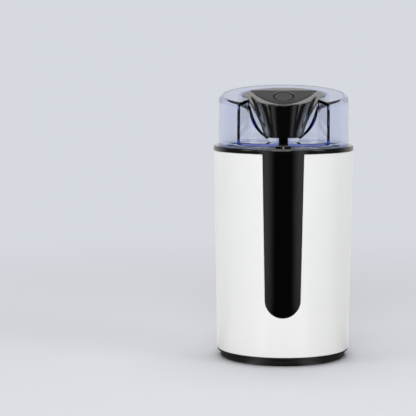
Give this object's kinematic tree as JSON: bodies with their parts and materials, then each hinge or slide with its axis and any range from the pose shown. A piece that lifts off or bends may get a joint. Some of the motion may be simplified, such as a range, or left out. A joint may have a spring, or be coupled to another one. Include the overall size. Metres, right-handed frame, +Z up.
{
  "type": "electric spice grinder",
  "caption": "Upright round electric spice grinder: white tapered body with a black front inlay, clear lift-off lid with a black press button, steel bowl with blade and a motor inside.",
  "frame": {"origin": "centre of the round body on the plane the rubber feet stand on", "axes": "+Z up along the body's axis, front with the press button's key towards -Y, +X to the right seen from the front"},
  "size_m": [0.098, 0.098, 0.1896],
  "materials": {
    "white_shell": "glossy white moulded",
    "black_inlay": "glossy black moulded",
    "grey_chassis": "dull grey moulded",
    "black_collar": "glossy black moulded",
    "zinc_screw": "zinc plated",
    "black_base": "fine matt black moulded",
    "foot_rubber": "dull black",
    "gland_rubber": "dull black",
    "clear_lid": "clear, polished",
    "black_button": "glossy black moulded",
    "button_disc": "glossy black, bare",
    "spring_wire": "drawn wire",
    "bowl_steel": "turned, satin",
    "seal_rubber": "dull black",
    "hub_plastic": "dull black",
    "blade_steel": "ground",
    "nut_metal": "turned",
    "shaft_steel": "ground",
    "bush_bronze": "sintered bronze",
    "bracket_steel": "galvanised",
    "lamination_steel": "stacked sheet",
    "copper_winding": "varnished copper wire",
    "copper_bar": "turned copper",
    "holder_brass": "pressed brass",
    "graphite": "pressed graphite",
    "fan_plastic": "dull off-white",
    "cutout_case": "dull dark brown",
    "plunger_plastic": "dull white",
    "switch_case": "dull black",
    "lever_steel": "sheet, bright",
    "switch_pin_plastic": "dull red",
    "terminal_plastic": "dull off-white",
    "capacitor_case": "glossy yellow"
  },
  "bodies": {
    "housing": {"outer_shell": "white_shell", "front_inlay": "black_inlay", "inner_chassis": "grey_chassis", "top_collar": "black_collar", "collar_front_block": "black_collar", "collar_screws": "zinc_screw", "base_cover": "black_base", "base_screws": "zinc_screw", "rubber_feet": "foot_rubber", "cord_gland": "gland_rubber", "grinding_bowl": "bowl_steel", "bowl_gasket": "seal_rubber", "shaft_seal": "seal_rubber", "upper_bearing_bush": "bush_bronze", "lower_bearing_bush": "bush_bronze", "motor_upper_bracket": "bracket_steel", "motor_lower_bracket": "bracket_steel", "motor_through_bolts": "zinc_screw", "motor_dampers": "seal_rubber", "motor_screws": "zinc_screw", "stator_laminations": "lamination_steel", "field_coils": "copper_winding", "brush_holders": "holder_brass", "carbon_brushes": "graphite", "brush_springs": "spring_wire", "thermal_cutout": "cutout_case", "plunger_spring": "spring_wire", "micro_switch": "switch_case", "lever_pin": "shaft_steel", "switch_screws": "zinc_screw", "switch_bracket": "bracket_steel", "terminal_block": "terminal_plastic", "suppression_capacitor": "capacitor_case"},
    "rotor": {"motor_shaft": "shaft_steel", "armature_core": "lamination_steel", "armature_winding": "copper_winding", "commutator": "copper_bar", "cooling_fan": "fan_plastic", "blade_hub": "hub_plastic", "grinding_blade": "blade_steel", "blade_nut": "nut_metal"},
    "lid": {"lid_shell": "clear_lid", "button_spring": "spring_wire"},
    "button": {"press_button": "black_button", "button_disc": "button_disc", "button_screw": "zinc_screw"},
    "plunger": {"switch_plunger": "plunger_plastic"},
    "lever": {"switch_lever": "lever_steel"},
    "pin": {"switch_pin": "switch_pin_plastic"}
  },
  "joints": [
    {"name": "lid_lift", "type": "slide", "parent": "housing", "child": "lid", "axis": [0, 0, 1], "range_m": [0, 0.08]},
    {"name": "button_press", "type": "slide", "parent": "lid", "child": "button", "axis": [0, 0, -1], "range_m": [0, 0.0026], "stiffness_N_per_m": 800, "springref_m": -0.004, "deforming": ["button_spring"]},
    {"name": "plunger_slide", "type": "slide", "parent": "housing", "child": "plunger", "axis": [0, 0, -1], "range_m": [0, 0.0026], "stiffness_N_per_m": 150, "springref_m": -0.004, "deforming": ["plunger_spring"]},
    {"name": "switch_lever_turn", "type": "hinge", "parent": "housing", "child": "lever", "pos_m": [-0.0114, -0.0374, 0.09891], "axis": [0, 1, 0], "range_deg": [0, 13.1]},
    {"name": "switch_pin_slide", "type": "slide", "parent": "housing", "child": "pin", "axis": [0, 0, -1], "range_m": [0, 0.00115]},
    {"name": "rotor_spin", "type": "hinge", "parent": "housing", "child": "rotor", "pos_m": [0, 0, 0.06], "axis": [0, 0, 1], "continuous": true}
  ],
  "couplings": [
    {"joint": "plunger_slide", "follows": "button_press", "ratio": 1},
    {"joint": "switch_lever_turn", "follows": "button_press", "rad_per_m": 87.72},
    {"joint": "switch_pin_slide", "follows": "button_press", "ratio": 0.4386}
  ]
}
